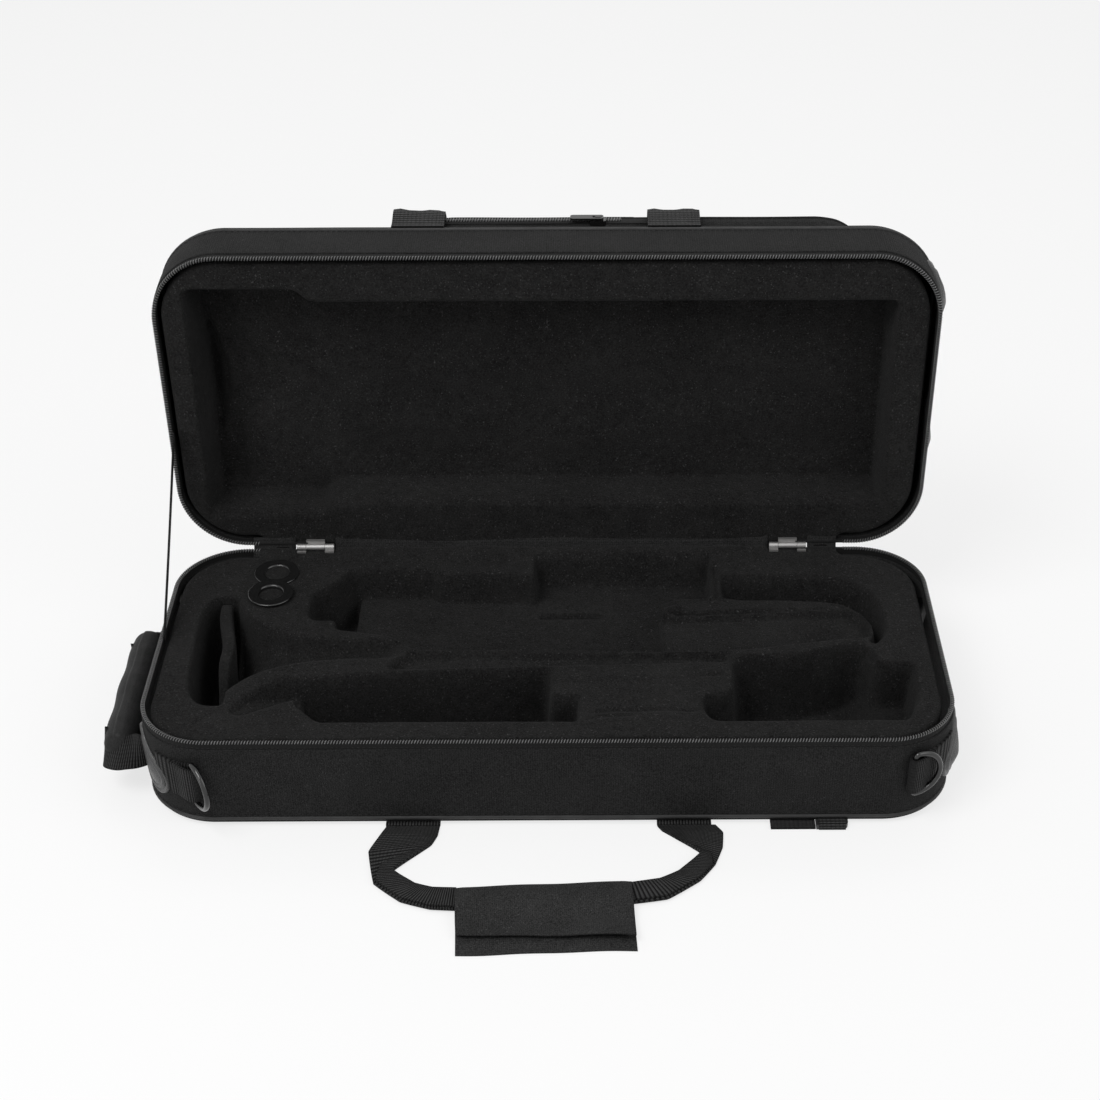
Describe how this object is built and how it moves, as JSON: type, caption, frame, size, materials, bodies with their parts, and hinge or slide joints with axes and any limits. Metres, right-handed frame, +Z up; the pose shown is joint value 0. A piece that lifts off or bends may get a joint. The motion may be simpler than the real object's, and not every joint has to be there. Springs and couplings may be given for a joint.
{
  "type": "trumpet case",
  "caption": "Soft-shell zip-up trumpet case, open, with moulded plush linings, carrying handles, strap rings and a lid pocket.",
  "frame": {"origin": "middle of the base's flat underside", "axes": "+X along the case to its right, +Y to its hinges at the back, +Z up"},
  "size_m": [0.599, 0.4485, 0.309],
  "materials": {
    "ballistic_cloth": "tight matt black nylon weave",
    "plush_lining": "soft black plush over moulded foam",
    "piping": "black cloth over a cord, stitched along its edge",
    "webbing": "black ribbed webbing",
    "zip_coil": "black nylon coil",
    "moulded_plastic": "satin black moulding",
    "glossy_plastic": "glossy black",
    "leatherette": "padded black leatherette with stitched edges",
    "hinge_steel": "zinc-plated grey steel",
    "black_metal": "black painted, satin"
  },
  "bodies": {
    "base": {"base_shell": "ballistic_cloth", "base_lining": "plush_lining", "base_piping": "piping", "base_zip_tape": "webbing", "base_zip_teeth": "zip_coil", "base_handle_anchor": "webbing", "underside_strap": "webbing", "strap_buckle": "moulded_plastic", "bell_rim_strip": "plush_lining", "mouthpiece_holder_back": "glossy_plastic", "mouthpiece_holder_front": "glossy_plastic", "lid_stay": "webbing", "hinge_binding": "ballistic_cloth", "hinge_base_leaf_left": "hinge_steel", "hinge_base_leaf_right": "hinge_steel", "hinge_pin_left": "hinge_steel", "hinge_pin_right": "hinge_steel", "hinge_rivets_base": "hinge_steel", "left_patch_front": "leatherette", "left_patch_back": "leatherette", "right_patch_front": "leatherette", "right_patch_back": "leatherette", "end_handle_webbing": "webbing", "ring_webbing_left": "webbing", "ring_webbing_right": "webbing"},
    "lid": {"lid_shell": "ballistic_cloth", "lid_lining": "plush_lining", "lid_piping": "piping", "lid_zip_tape": "webbing", "lid_zip_teeth": "zip_coil", "lid_handle_anchor": "webbing", "lid_pocket": "ballistic_cloth", "pocket_zip_teeth": "zip_coil", "hinge_lid_leaf_left": "hinge_steel", "hinge_lid_leaf_right": "hinge_steel", "hinge_rivets_lid": "hinge_steel", "lid_patch_front": "leatherette", "lid_patch_back": "leatherette"},
    "base_handle": {"base_handle_webbing": "webbing", "base_handle_wrap": "ballistic_cloth"},
    "lid_handle": {"lid_handle_webbing": "webbing", "lid_handle_wrap": "ballistic_cloth"},
    "end_handle": {"end_handle_grip": "leatherette"},
    "ring_left": {"strap_ring_left": "black_metal"},
    "ring_right": {"strap_ring_right": "black_metal"},
    "pocket_slider": {"pocket_slider": "black_metal"},
    "pocket_pull": {"pocket_pull": "black_metal"},
    "zip_slider_left": {"zip_slider_left": "black_metal"},
    "zip_slider_right": {"zip_slider_right": "black_metal"},
    "zip_pull_left": {"zip_pull_left": "black_metal"},
    "zip_pull_right": {"zip_pull_right": "black_metal"}
  },
  "joints": [
    {"name": "lid", "type": "hinge", "parent": "base", "child": "lid", "pos_m": [0, 0.118, 0.07375], "axis": [1, 0, 0], "range_deg": [0, 91.7], "deforming": ["lid_stay", "hinge_binding"]},
    {"name": "base_handle", "type": "hinge", "parent": "base", "child": "base_handle", "pos_m": [0, -0.1209, 0.00105], "axis": [-1, 0, 0], "range_deg": [0, 80]},
    {"name": "lid_handle", "type": "hinge", "parent": "lid", "child": "lid_handle", "pos_m": [0, 0.20026, 0.30026], "axis": [1, 0, 0], "range_deg": [0, 160]},
    {"name": "end_handle", "type": "slide", "parent": "base", "child": "end_handle", "axis": [-1, 0, 0], "range_m": [0, 0.012], "deforming": ["end_handle_webbing"]},
    {"name": "ring_left", "type": "hinge", "parent": "base", "child": "ring_left", "pos_m": [-0.23938, -0.12068, 0.041], "axis": [0, 0, -1], "range_deg": [-45, 120]},
    {"name": "ring_right", "type": "hinge", "parent": "base", "child": "ring_right", "pos_m": [0.24847, -0.11824, 0.044], "axis": [0, 0, -1], "range_deg": [0, 165]},
    {"name": "pocket_slider", "type": "slide", "parent": "lid", "child": "pocket_slider", "axis": [1, 0, 0], "range_m": [-0.103, 0.01]},
    {"name": "pocket_pull", "type": "hinge", "parent": "pocket_slider", "child": "pocket_pull", "pos_m": [0.0394, 0.19246, 0.30714], "axis": [0, 0.9996, -0.0297], "range_deg": [0, 150]},
    {"name": "zip_slider_left", "type": "slide", "parent": "base", "child": "zip_slider_left", "axis": [-1, 0, 0], "range_m": [0, 0.018]},
    {"name": "zip_slider_right", "type": "slide", "parent": "base", "child": "zip_slider_right", "axis": [1, 0, 0], "range_m": [0, 0.018]},
    {"name": "zip_pull_left", "type": "hinge", "parent": "zip_slider_left", "child": "zip_pull_left", "pos_m": [-0.205, 0.1234, 0.07315], "axis": [1, 0, 0], "range_deg": [0, 75]},
    {"name": "zip_pull_right", "type": "hinge", "parent": "zip_slider_right", "child": "zip_pull_right", "pos_m": [0.205, 0.1234, 0.07315], "axis": [1, 0, 0], "range_deg": [0, 75]}
  ]
}
